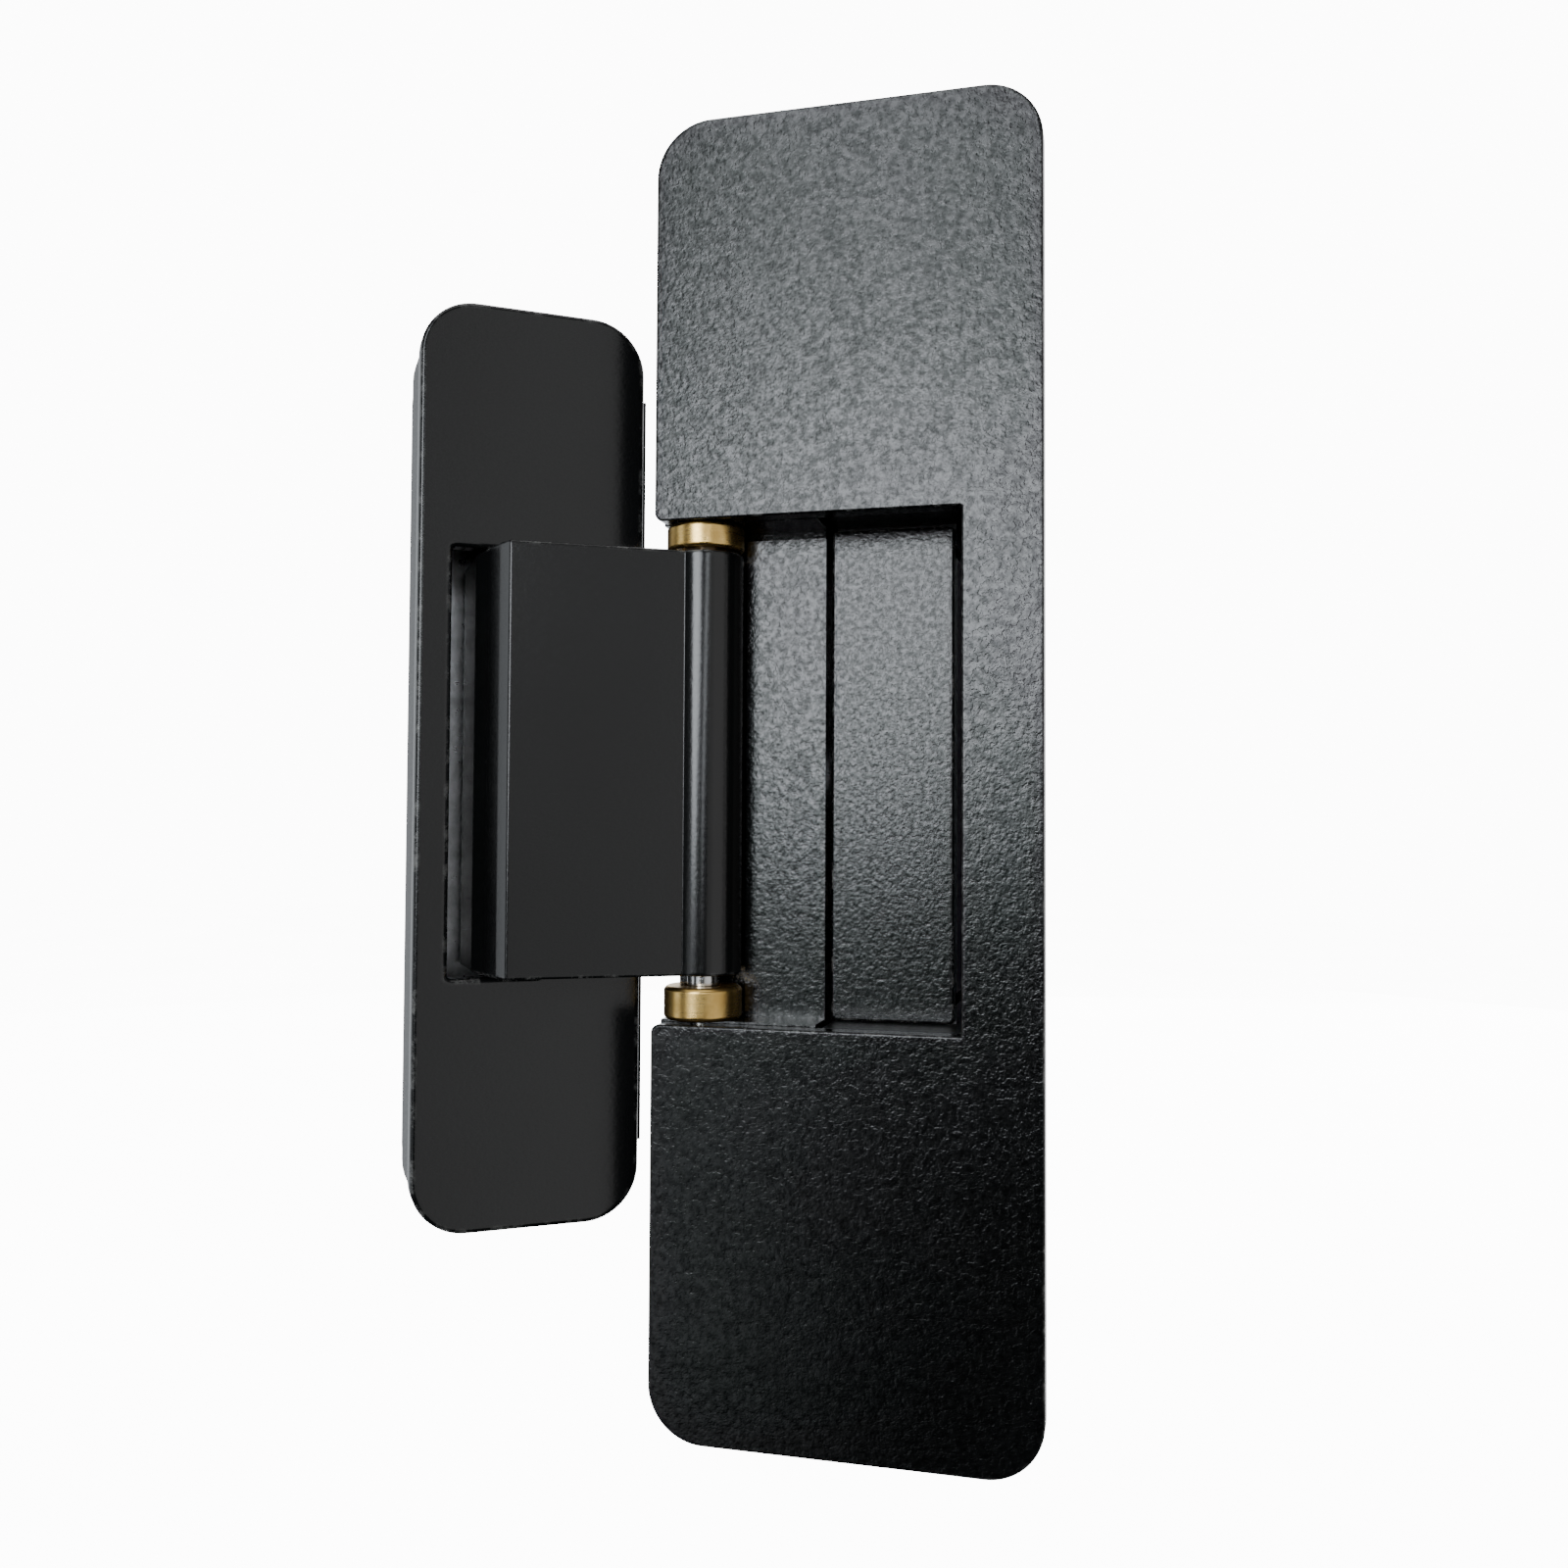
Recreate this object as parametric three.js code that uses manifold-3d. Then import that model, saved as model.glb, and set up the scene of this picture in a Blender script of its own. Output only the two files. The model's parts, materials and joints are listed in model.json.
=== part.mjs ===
// Concealed door hinge with one pivot pin and a gooseneck arm.
// Millimetres. Door leaf: +X along the leaf's width, +Y into the door, +Z up the pin.
// The frame leaf is drawn in its own group, turned about the pin to the rest angle.
import * as THREE from "three";
import { mergeVertices } from "three/addons/utils/BufferGeometryUtils.js";
import Module from "manifold-3d";

const wasm = await Module();
wasm.setup();

// Driving dimensions
const GAP = 0.3; // clearance between neighbouring pieces
const CORNER_R = 6.8;
const COVER_T = 2.4;
const COVER_BEVEL = 0.4;

const DOOR_W = 46.9;
const DOOR_H = 160;
const DOOR_DEPTH = 24;
const DOOR_FLANGE_T = 10.3;
const NOTCH_W = 37.5;
const NOTCH_H = 61.5;
const NOTCH_RISE = 0.25; // middle of the notch above the middle of the leaf
const FLOOR_D = 10.2; // depth of the recess floor behind the door leaf's face
const HOUSING_H = 92;

const PIN_R = 1.95;
const PIN_LEN = 81;
const PIN_INSET = 5.05; // from the door leaf's left edge
const PIN_DEPTH = 5.0; // behind the door leaf's face
const BORE_R = 2.25;
const WASHER_R = 4.8;
const BARREL_R = 4.7;
const ARM_H = 51.8;
const ARM_LOW = -25.75;
const FRAME_LIFT = 1.1; // the frame leaf sits this much higher than the door leaf

const REST_DEG = 34.8; // frame leaf short of lying flat beside the door leaf
const FRAME_SET = 8.2; // frame face behind the pin
const FRAME_W = 28.2;
const FRAME_H = 114.6;
const FRAME_NEAR = 5.87; // pin to the frame leaf's near edge
const FRAME_DEPTH = 24;
const FRAME_FLANGE_T = 10.1;
const FRAME_HOUSING_H = 112;
const NEAR_RIB_H = 96;
const NEAR_RIB_OUT = 1.2; // rib beyond the flange of the frame leaf
const POCKET_LOW = -26.4;
const POCKET_HIGH = 26.7;
const BODY_INSET = 0.6;

const CAM_THROW = 1.5;
const LIFT_CAM_THROW = 1.2;

const LEFT = -DOOR_W / 2;
const FACE = -DOOR_DEPTH;
const PIN_X = LEFT + PIN_INSET;
const PIN_Y = FACE + PIN_DEPTH;
const FLOOR_Y = FACE + FLOOR_D;
const NOTCH_TOP = NOTCH_H / 2 + NOTCH_RISE;
const NOTCH_LOW = NOTCH_TOP - NOTCH_H;
const NOTCH_RIGHT = LEFT + NOTCH_W;

// Solids: three.js geometries turned into manifold solids
function solid(geometry) {
  const bare = geometry.clone();
  bare.deleteAttribute("normal");
  bare.deleteAttribute("uv");
  const merged = mergeVertices(bare, 1e-4);
  return new wasm.Manifold(
    new wasm.Mesh({
      numProp: 3,
      vertProperties: new Float32Array(merged.attributes.position.array),
      triVerts: new Uint32Array(merged.index.array),
    }),
  );
}

function box(x0, x1, y0, y1, z0, z1) {
  const g = new THREE.BoxGeometry(x1 - x0, y1 - y0, z1 - z0);
  return solid(g.translate((x0 + x1) / 2, (y0 + y1) / 2, (z0 + z1) / 2));
}

function turnTo(geometry, axis) {
  if (axis === "x") geometry.rotateZ(-Math.PI / 2);
  if (axis === "z") geometry.rotateX(Math.PI / 2);
  return geometry;
}

// A round bar along an axis; `at` is the middle of its low end, `sides` can make it a polygon.
function bar(axis, at, length, r, sides = 20) {
  const g = turnTo(new THREE.CylinderGeometry(r, r, length, sides), axis);
  const half = { x: [1, 0, 0], y: [0, 1, 0], z: [0, 0, 1] }[axis].map((v) => (v * length) / 2);
  return solid(g.translate(at[0] + half[0], at[1] + half[1], at[2] + half[2]));
}

// A turned piece along an axis from [radius, distance] pairs that start and end on the axis.
function turned(axis, at, profile, sides = 20) {
  const points = profile.map(([r, d]) => new THREE.Vector2(r, d));
  const g = new THREE.LatheGeometry(points, sides);
  if (axis === "x") g.rotateZ(-Math.PI / 2);
  if (axis === "z") g.rotateX(Math.PI / 2);
  return solid(g.translate(...at));
}

function roundedShape(x0, x1, z0, z1, r) {
  const s = new THREE.Shape();
  s.moveTo(x0 + r, z0);
  s.lineTo(x1 - r, z0);
  s.absarc(x1 - r, z0 + r, r, -Math.PI / 2, 0);
  s.lineTo(x1, z1 - r);
  s.absarc(x1 - r, z1 - r, r, 0, Math.PI / 2);
  s.lineTo(x0 + r, z1);
  s.absarc(x0 + r, z1 - r, r, Math.PI / 2, Math.PI);
  s.lineTo(x0, z0 + r);
  s.absarc(x0 + r, z0 + r, r, Math.PI, 1.5 * Math.PI);
  return s;
}

// A shape drawn in X and Z, given thickness from y0 to y1, with an optional bevel.
function slab(shape, y0, y1, bevel = 0) {
  const g = new THREE.ExtrudeGeometry(shape, {
    depth: y1 - y0 - 2 * bevel,
    curveSegments: 5,
    bevelEnabled: bevel > 0,
    bevelThickness: bevel,
    bevelSize: bevel,
    bevelOffset: -bevel,
    bevelSegments: 1,
  });
  g.rotateX(Math.PI / 2);
  return solid(g.translate(0, y1 - bevel, 0));
}

// A section drawn in X and Y, given height from z0 to z1.
function column(points, z0, z1) {
  const s = new THREE.Shape(points.map(([x, y]) => new THREE.Vector2(x, y)));
  const g = new THREE.ExtrudeGeometry(s, { depth: z1 - z0, bevelEnabled: false });
  return solid(g.translate(0, 0, z0));
}

function slot(x, z, y0, y1, r, reachX, reachZ) {
  return slab(roundedShape(x - r - reachX, x + r + reachX, z - r - reachZ, z + r + reachZ, r), y0, y1);
}

// Countersink for a wood screw, opening towards -Y at y0.
function screwHole(x, z, y0, y1) {
  const depth = y1 - y0 + 1;
  const profile = [[0, -1], [4.4, -1], [4.4, 0], [2.4, 2.4], [2.4, depth], [0, depth]];
  return turned("y", [x, y0, z], profile, 16);
}

// Materials
function material(color, roughness, metalness) {
  return new THREE.MeshStandardMaterial({ color, roughness, metalness });
}
const blackCoat = () => material(0x2b2d30, 0.55, 0.2);
const smoothCoat = () => material(0x26282a, 0.45, 0.2);
const casting = () => material(0x6f7275, 0.5, 0.8);
const brass = () => material(0xb58a3c, 0.3, 1);
const steel = () => material(0xb9bcc0, 0.3, 1);
const zincSteel = () => material(0x9da1a6, 0.35, 1);
const springSteel = () => material(0x8f9296, 0.3, 1);

const root = new THREE.Group();
root.name = "concealed_hinge";
const frameLeaf = new THREE.Group();
frameLeaf.name = "frame_leaf";
frameLeaf.position.set(PIN_X, PIN_Y, FRAME_LIFT);
frameLeaf.rotation.z = THREE.MathUtils.degToRad(REST_DEG);
root.add(frameLeaf);

function piece(parent, name, manifold, look) {
  const made = manifold.getMesh();
  const g = new THREE.BufferGeometry();
  g.setAttribute("position", new THREE.BufferAttribute(new Float32Array(made.vertProperties), 3));
  g.setIndex(new THREE.BufferAttribute(new Uint32Array(made.triVerts), 1));
  g.computeVertexNormals();
  const mesh = new THREE.Mesh(g, look);
  mesh.name = name;
  parent.add(mesh);
}

// Door leaf
const CARRIAGE = { right: -4.2, back: -7.0, top: 42, tailRight: 8.4, tailFront: -9.5, tailTop: 24 };
const LAND = { left: -13.9, right: -3.7, front: -15.9, back: -12.3, top: 29.4 };
const LUG_OVER = 0.3; // the lugs show this much past the notch's ends
const INSERT = { left: -3.1, right: 12.1, front: -15.0, back: -13.5, top: 30.35 };
const TAIL_SCREW_Z = 15;
const CAM_X = 2;
const HEAD_FRONT = -12.0;

function doorCoverShape() {
  const s = new THREE.Shape();
  const h = DOOR_H / 2;
  const r = CORNER_R;
  s.moveTo(LEFT + r, -h);
  s.lineTo(-LEFT - r, -h);
  s.absarc(-LEFT - r, -h + r, r, -Math.PI / 2, 0);
  s.lineTo(-LEFT, h - r);
  s.absarc(-LEFT - r, h - r, r, 0, Math.PI / 2);
  s.lineTo(LEFT + r, h);
  s.absarc(LEFT + r, h - r, r, Math.PI / 2, Math.PI);
  s.lineTo(LEFT, NOTCH_TOP + 1);
  s.absarc(LEFT + 1, NOTCH_TOP + 1, 1, Math.PI, 1.5 * Math.PI);
  s.lineTo(NOTCH_RIGHT, NOTCH_TOP);
  s.lineTo(NOTCH_RIGHT, NOTCH_LOW);
  s.lineTo(LEFT + 1, NOTCH_LOW);
  s.absarc(LEFT + 1, NOTCH_LOW - 1, 1, Math.PI / 2, Math.PI);
  s.lineTo(LEFT, -h + r);
  s.absarc(LEFT + r, -h + r, r, Math.PI, 1.5 * Math.PI);
  return s;
}

function doorCover() {
  return slab(doorCoverShape(), FACE, FACE + COVER_T, COVER_BEVEL);
}

function doorBody() {
  const edge = -LEFT - BODY_INSET;
  const front = FACE + COVER_T + GAP;
  const flangeBack = front + DOOR_FLANGE_T;
  const half = DOOR_H / 2 - GAP;
  let body = slab(roundedShape(-edge, edge, -half, half, CORNER_R - BODY_INSET), front, flangeBack);
  const deep = roundedShape(-edge + 1, edge - 1, -HOUSING_H / 2, HOUSING_H / 2, 4);
  body = body.add(slab(deep, flangeBack - 1, 0));
  const pitBack = CARRIAGE.back + GAP;
  const tailRoom = CARRIAGE.tailTop + GAP;
  const cuts = [
    box(LEFT - 1, NOTCH_RIGHT + GAP, FACE, INSERT.back + GAP, NOTCH_LOW, NOTCH_TOP),
    box(INSERT.right + 0.1, NOTCH_RIGHT + GAP, FACE, -8.5, NOTCH_LOW, NOTCH_TOP),
    box(LEFT - 1, LAND.right + 0.9, FACE, pitBack, -CARRIAGE.top - GAP, CARRIAGE.top + GAP),
    box(-6, CARRIAGE.tailRight + 0.9, INSERT.front, pitBack, -tailRoom, tailRoom),
    bar("y", [CAM_X, -8, 0], 7.2, 3.3),
    bar("y", [CAM_X, -8, TAIL_SCREW_Z], 7.2, 2.8),
    bar("y", [CAM_X, -8, -TAIL_SCREW_Z], 7.2, 2.8),
    bar("y", [10.8, INSERT.back - 1, 27.5], 6, 1.6, 16),
    bar("y", [10.8, INSERT.back - 1, -27.5], 6, 1.6, 16),
  ];
  for (const side of [-1, 1]) {
    cuts.push(screwHole(-12, side * 72, front, flangeBack));
    cuts.push(screwHole(12, side * 72, front, flangeBack));
    cuts.push(screwHole(0, side * 53, front, flangeBack));
    cuts.push(clipPocket(0, side * 64, front));
  }
  return cuts.reduce((left, cut) => left.subtract(cut), body);
}

// Spring clip that grips the back of a cover: a small bridge with two bent legs.
function clipPocket(x, z, front) {
  return box(x - 5.3, x + 5.3, front - 1, front + 4.6, z - 2.3, z + 2.3);
}

function coverClip(x, z, front) {
  const profile = [
    [-5, 4.2], [-5, 3.5], [-3.2, 3.5], [-2.4, 0.2], [2.4, 0.2], [3.2, 3.5],
    [5, 3.5], [5, 4.2], [2.7, 4.2], [1.9, 0.9], [-1.9, 0.9], [-2.7, 4.2],
  ];
  const moved = profile.map(([px, py]) => [x + px, front + py]);
  return column(moved, z - 2, z + 2);
}

function pinCarriage() {
  const left = LEFT + GAP;
  const c = CARRIAGE;
  const lugFront = FACE + COVER_T + 2 * GAP;
  let made = box(left, c.right, FLOOR_Y, c.back, -c.top, c.top);
  made = made.add(box(c.right - 1, c.tailRight, c.tailFront, c.back, -c.tailTop, c.tailTop));
  made = made.add(box(LAND.left, LAND.right, LAND.front, LAND.back, -c.top, LAND.top));
  made = made.add(box(left, LAND.right, lugFront, FLOOR_Y + 1, NOTCH_TOP - LUG_OVER, c.top));
  made = made.add(box(left, LAND.right, lugFront, FLOOR_Y + 1, -c.top, NOTCH_LOW + LUG_OVER));
  made = made.subtract(bar("z", [PIN_X, PIN_Y, -50], 100, BORE_R));
  for (const side of [-1, 1]) {
    made = made.subtract(bar("x", [PIN_X, PIN_Y, side * 36], 8, 1.8, 20));
    made = made.subtract(slot(CAM_X, side * TAIL_SCREW_Z, c.tailFront - 1, c.back + 1, 2.8, 1.3, 0));
  }
  return made.subtract(slot(CAM_X, CAM_THROW, c.tailFront - 1, c.back + 1, 3.75, 0, 1.2));
}

function recessInsert() {
  const plate = roundedShape(INSERT.left, INSERT.right, -INSERT.top, INSERT.top, 0.6);
  let made = slab(plate, INSERT.front, INSERT.back, 0.3);
  for (const side of [-1, 1]) {
    made = made.add(bar("y", [10.8, INSERT.back - 0.5, side * 27.5], 4, 1.3, 16));
  }
  return made;
}

function knucklePin() {
  const half = PIN_LEN / 2;
  const profile = [
    [0, -half], [PIN_R - 0.5, -half], [PIN_R, -half + 0.5],
    [PIN_R, half - 0.5], [PIN_R - 0.5, half], [0, half],
  ];
  return turned("z", [PIN_X, PIN_Y, 0], profile, 20);
}

// A ring about the pin with both rims broken.
function ring(x, y, z0, z1, inner, outer, chamfer) {
  const c = chamfer;
  const profile = [
    [0, 0], [outer - c, 0], [outer, c], [outer, z1 - z0 - c], [outer - c, z1 - z0], [0, z1 - z0],
  ];
  const disc = turned("z", [x, y, 0], profile.map(([r, d]) => [r, d + z0]), 28);
  return disc.subtract(bar("z", [x, y, z0 - 1], z1 - z0 + 2, inner, 20));
}

function hexSocket(axis, at, depth, across) {
  return bar(axis, at, depth, across / Math.sqrt(3), 6);
}

function pinSetScrew(z) {
  const at = [PIN_X + PIN_R + GAP, PIN_Y, z];
  const screw = turned("x", at, [[0, 0], [1, 0], [1.5, 0.6], [1.5, 3.9], [0, 3.9]], 20);
  return screw.subtract(hexSocket("x", [at[0] + 2.4, PIN_Y, z], 3, 1.5));
}

// Cap screw with its head at y0, shank running into +Y.
function capScrew(x, z, y0, headR, headT, shankR, length, across) {
  const profile = [
    [0, 0], [headR - 0.3, 0], [headR, 0.3], [headR, headT], [shankR, headT],
    [shankR, length - 0.5], [shankR - 0.5, length], [0, length],
  ];
  const screw = turned("y", [x, y0, z], profile, 14);
  return screw.subtract(hexSocket("y", [x, y0 - 1, z], 1 + headT * 0.75, across));
}

function sideCam() {
  const head = bar("y", [CAM_X, HEAD_FRONT, 0], 2.2, 5.4, 20);
  const lobe = bar("y", [CAM_X, -10.2, CAM_THROW], 3.4, 3.5, 20);
  const journal = bar("y", [CAM_X, -6.85, 0], 5.55, 3.0, 16);
  return head.add(lobe).add(journal).subtract(hexSocket("y", [CAM_X, HEAD_FRONT - 1, 0], 2.6, 4));
}

// Frame leaf, in the turned group: pin at the origin, face at +FRAME_SET, z 0 at its middle
const FF = FRAME_SET; // face
const FB = FF + COVER_T + GAP; // front of the body
const FAR = -FRAME_NEAR - FRAME_W;
const MID_X = -FRAME_NEAR - FRAME_W / 2;
const NECK_OUT = -26.9;
const NECK_IN = -22.2;
const FOOT = { right: -11.5, top: 16, back: 20.5 };
const TRAY = { left: -30, right: -9.5, front: 23.6, back: 27, top: 42.5 };
const LIFT_Z = 32;
const KEEPER_Z = 38.8;
const KEEPER_T = 2.2;
const KEEPER_SCREW_DX = 7.8;
const FOOT_SCREW_X = -16.6;
const CLAMP_Z = 14;

function frameCover() {
  const h = FRAME_H / 2;
  const shape = roundedShape(FAR, -FRAME_NEAR, -h, h, CORNER_R);
  const pocket = box(-29.95, -18.6, FF - 1, FF + 5, POCKET_LOW, POCKET_HIGH);
  return slab(shape, FF, FF + COVER_T, COVER_BEVEL + 0.2).subtract(pocket);
}

function frameBody() {
  const h = FRAME_H / 2 - GAP;
  const back = FF + FRAME_DEPTH;
  const flangeBack = FB + FRAME_FLANGE_T;
  const near = -FRAME_NEAR - GAP;
  let body = slab(roundedShape(FAR + GAP, near, -h, h, CORNER_R - GAP), FB, flangeBack);
  const mid = FRAME_HOUSING_H / 2;
  const rib = NEAR_RIB_H / 2;
  body = body.add(box(MID_X, near + NEAR_RIB_OUT, FB, flangeBack, -rib, rib));
  body = body.add(slab(roundedShape(FAR + 1.3, near - 1, -mid, mid, 5), flangeBack - 1, back));
  const t = TRAY;
  const cuts = [
    box(t.left - 0.6, t.right + GAP, FF, t.back + GAP, -t.top - 1.2, t.top + 1.2),
    bar("y", [MID_X, t.back - 1, LIFT_Z], 5.2, 3.3),
    slot(FOOT_SCREW_X, 0, t.back - 1, t.back + 2, 4.7, 0, 1.2),
  ];
  for (const side of [-1, 1]) {
    cuts.push(screwHole(MID_X - 9.2, side * 51.5, FB, back));
    cuts.push(screwHole(MID_X + 9.2, side * 51.5, FB, back));
    cuts.push(bar("y", [MID_X - KEEPER_SCREW_DX, t.back - 1, side * KEEPER_Z], 5, 1.5, 16));
    cuts.push(bar("y", [MID_X + KEEPER_SCREW_DX, t.back - 1, side * KEEPER_Z], 5, 1.5, 16));
    cuts.push(clipPocket(MID_X, side * 51.5, FB));
  }
  return cuts.reduce((left, cut) => left.subtract(cut), body);
}

// Side view of the arm from above: flat face, slanted neck, foot inside the frame leaf.
function armSection() {
  return [
    [1.0, -3.4], [-24.0, -1.25], [-24.5, -1.1], [-24.8, -0.6], [-25.2, 0.5], [-25.9, 3.5],
    [-26.5, 6.4], [NECK_OUT, 9.0], [NECK_OUT, FOOT.back], [FOOT.right, FOOT.back],
    [FOOT.right, FOOT.top], [NECK_IN, FOOT.top], [NECK_IN, 9.0], [-21.7, 6.6], [-20.9, 4.9],
    [-19.4, 3.7], [-17.6, 3.05], [-3.5, 1.6], [0, 1.6],
  ].reverse();
}

function gooseneckArm() {
  let arm = column(armSection(), ARM_LOW, ARM_LOW + ARM_H);
  arm = arm.add(bar("z", [0, 0, ARM_LOW], ARM_H, BARREL_R, 40));
  const cuts = [
    bar("z", [0, 0, -40], 80, BORE_R + 0.2),
    bar("z", [0, 0, -40], 40 - 13.45, 3.25),
    bar("z", [0, 0, 13.75], 40, 3.25),
    bar("y", [FOOT_SCREW_X, FOOT.top - 1, 0], 6, 2.8),
    bar("y", [FOOT_SCREW_X, FOOT.top - 1, CLAMP_Z], 6, 2.3),
    bar("y", [FOOT_SCREW_X, FOOT.top - 1, -CLAMP_Z], 6, 2.3),
  ];
  return cuts.reduce((left, cut) => left.subtract(cut), arm);
}

function armTray() {
  const t = TRAY;
  let made = slab(roundedShape(t.left, t.right, -t.top, t.top, 1.5), t.front, t.back);
  made = made.subtract(bar("y", [FOOT_SCREW_X, t.front - 1, 0], 6, 2.8));
  for (const side of [-1, 1]) {
    made = made.subtract(bar("y", [FOOT_SCREW_X, t.front - 1, side * CLAMP_Z], 6, 2.3));
    for (const dx of [-KEEPER_SCREW_DX, KEEPER_SCREW_DX]) {
      made = made.subtract(slot(MID_X + dx, side * KEEPER_Z, t.front - 1, t.back + 1, 1.55, 0, 1));
    }
  }
  return made.subtract(slot(MID_X - LIFT_CAM_THROW, LIFT_Z, t.front - 1, t.back + 1, 3.55, 0.5, 0));
}

function trayKeeper(side) {
  const y0 = TRAY.front - GAP - KEEPER_T;
  const z = side * KEEPER_Z;
  let made = slab(roundedShape(TRAY.left, TRAY.right, z - 2.3, z + 2.3, 1.5), y0, y0 + KEEPER_T);
  for (const dx of [-KEEPER_SCREW_DX, KEEPER_SCREW_DX]) {
    made = made.subtract(bar("y", [MID_X + dx, y0 - 1, z], 5, 1.5, 16));
  }
  return made;
}

function keeperScrew(dx, side) {
  const y0 = TRAY.front - 2 * GAP - KEEPER_T - 1.8;
  return capScrew(MID_X + dx, side * KEEPER_Z, y0, 2.2, 1.8, 1.2, 11.6, 2);
}

function clampScrew(z) {
  return capScrew(FOOT_SCREW_X, z, FOOT.top - GAP - 2.4, 3.8, 2.4, 2, 12.4, 3);
}

// Flange above the tray and a circlip below it hold the depth screw; its thread lifts the foot.
function depthScrew() {
  const t = TRAY;
  const y0 = FOOT.top - 0.8;
  const profile = [
    [0, 0], [2.1, 0], [2.5, 0.4], [2.5, t.front - GAP - 1.1 - y0], [4, t.front - GAP - 1.1 - y0],
    [4, t.front - GAP - y0], [2.5, t.front - GAP - y0], [2.5, t.back + 1.4 - y0], [0, t.back + 1.4 - y0],
  ];
  const screw = turned("y", [FOOT_SCREW_X, y0, 0], profile, 18);
  return screw.subtract(hexSocket("y", [FOOT_SCREW_X, y0 - 1, 0], 3.4, 2.5));
}

function circlip() {
  const y0 = TRAY.back + GAP;
  const disc = bar("y", [FOOT_SCREW_X, y0, 0], 0.8, 4.2, 20);
  const bore = bar("y", [FOOT_SCREW_X, y0 - 1, 0], 3, 2.75, 20);
  return disc.subtract(bore).subtract(box(FOOT_SCREW_X - 1, FOOT_SCREW_X + 1, y0 - 1, y0 + 2, 0, 6));
}

function barrelBush(z0) {
  return ring(0, 0, z0, z0 + 12, BORE_R, 3.0, 0.3);
}

function liftCam() {
  const y0 = TRAY.front - GAP - KEEPER_T;
  const head = bar("y", [MID_X, y0, LIFT_Z], KEEPER_T, 4.2);
  const lobe = bar("y", [MID_X - LIFT_CAM_THROW, TRAY.front - GAP - 0.5, LIFT_Z], 4.4, 3.3);
  const journal = bar("y", [MID_X, TRAY.back + 0.1, LIFT_Z], 3.9, 3.0);
  return head.add(lobe).add(journal).subtract(hexSocket("y", [MID_X, y0 - 1, LIFT_Z], 2.6, 3));
}

piece(root, "door_body", doorBody(), casting());
piece(root, "door_cover_plate", doorCover(), blackCoat());
const DOOR_FRONT = FACE + COVER_T + GAP;
piece(root, "door_cover_clip_upper", coverClip(0, 64, DOOR_FRONT), springSteel());
piece(root, "door_cover_clip_lower", coverClip(0, -64, DOOR_FRONT), springSteel());
piece(root, "pin_carriage", pinCarriage(), blackCoat());
piece(root, "recess_insert", recessInsert(), blackCoat());
piece(root, "knuckle_pin", knucklePin(), steel());
piece(root, "upper_thrust_washer", ring(PIN_X, PIN_Y, 27.5, 30.4, BORE_R, WASHER_R, 0.4), brass());
piece(root, "lower_thrust_washer", ring(PIN_X, PIN_Y, -29.9, -26.1, BORE_R, WASHER_R, 0.45), brass());
piece(root, "upper_pin_set_screw", pinSetScrew(36), zincSteel());
piece(root, "lower_pin_set_screw", pinSetScrew(-36), zincSteel());
piece(root, "side_adjust_cam", sideCam(), zincSteel());
for (const [name, z] of [["upper", TAIL_SCREW_Z], ["lower", -TAIL_SCREW_Z]]) {
  const screw = capScrew(CAM_X, z, HEAD_FRONT, 4.4, 2.2, 2.5, 10.8, 4);
  piece(root, name + "_carriage_screw", screw, zincSteel());
}

piece(frameLeaf, "frame_body", frameBody(), casting());
piece(frameLeaf, "frame_cover_plate", frameCover(), smoothCoat());
piece(frameLeaf, "frame_cover_clip_upper", coverClip(MID_X, 51.5, FB), springSteel());
piece(frameLeaf, "frame_cover_clip_lower", coverClip(MID_X, -51.5, FB), springSteel());
piece(frameLeaf, "gooseneck_arm", gooseneckArm(), smoothCoat());
piece(frameLeaf, "upper_barrel_bush", barrelBush(ARM_LOW + ARM_H - 12), brass());
piece(frameLeaf, "lower_barrel_bush", barrelBush(ARM_LOW), brass());
piece(frameLeaf, "arm_tray", armTray(), zincSteel());
piece(frameLeaf, "upper_tray_keeper", trayKeeper(1), zincSteel());
piece(frameLeaf, "lower_tray_keeper", trayKeeper(-1), zincSteel());
for (const [level, side] of [["upper", 1], ["lower", -1]]) {
  for (const [place, dx] of [["far", -KEEPER_SCREW_DX], ["near", KEEPER_SCREW_DX]]) {
    piece(frameLeaf, level + "_" + place + "_keeper_screw", keeperScrew(dx, side), zincSteel());
  }
  piece(frameLeaf, level + "_clamp_screw", clampScrew(side * CLAMP_Z), zincSteel());
}
piece(frameLeaf, "depth_adjust_screw", depthScrew(), zincSteel());
piece(frameLeaf, "depth_screw_circlip", circlip(), springSteel());
piece(frameLeaf, "height_adjust_cam", liftCam(), zincSteel());

export default root;
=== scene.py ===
import json
import math

import bmesh
import bpy
from mathutils import Matrix, Vector
from mathutils.geometry import tessellate_polygon


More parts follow.
